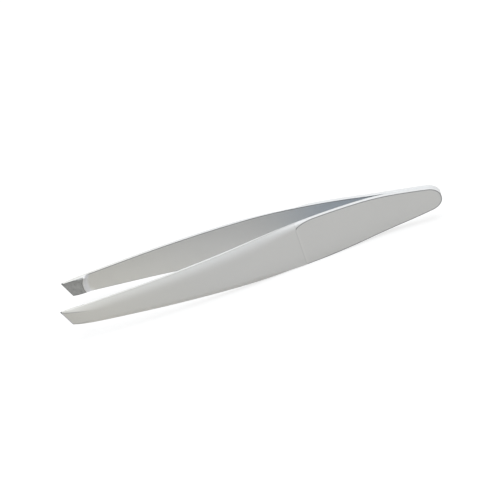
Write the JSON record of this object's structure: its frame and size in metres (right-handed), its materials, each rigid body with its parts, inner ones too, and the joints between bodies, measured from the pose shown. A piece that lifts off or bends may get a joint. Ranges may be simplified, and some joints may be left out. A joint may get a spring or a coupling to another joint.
{
  "type": "slant tweezers",
  "caption": "Sprung steel tweezers with bowed, crowned arms, welded at the tail, that shut onto ground pads with slanted ends.",
  "frame": {"origin": "under the middle of the tweezers, on the surface that the lower edges of both arms lie on", "axes": "+X along the arms from the slanted points to the welded tail, +Y across the gap from the left arm to the right arm, +Z across the width of the arms"},
  "size_m": [0.095, 0.018, 0.0113],
  "materials": {
    "enamel": "satin white enamel",
    "bare_steel": "ground"
  },
  "bodies": {
    "tail": {"left_tail": "enamel", "right_tail": "enamel", "front_weld": "bare_steel", "rear_weld": "bare_steel"},
    "left_arm": {"left_blade": "enamel"},
    "right_arm": {"right_blade": "enamel"}
  },
  "joints": [
    {"name": "left_flex", "type": "hinge", "parent": "tail", "child": "left_arm", "pos_m": [0.022, -0.00244, 0.00565], "axis": [0, 0, -1], "range_deg": [0, 5.53], "stiffness_Nm_per_rad": 2},
    {"name": "right_flex", "type": "hinge", "parent": "tail", "child": "right_arm", "pos_m": [0.022, 0.00244, 0.00565], "axis": [0, 0, 1], "range_deg": [0, 5.53], "stiffness_Nm_per_rad": 2}
  ]
}
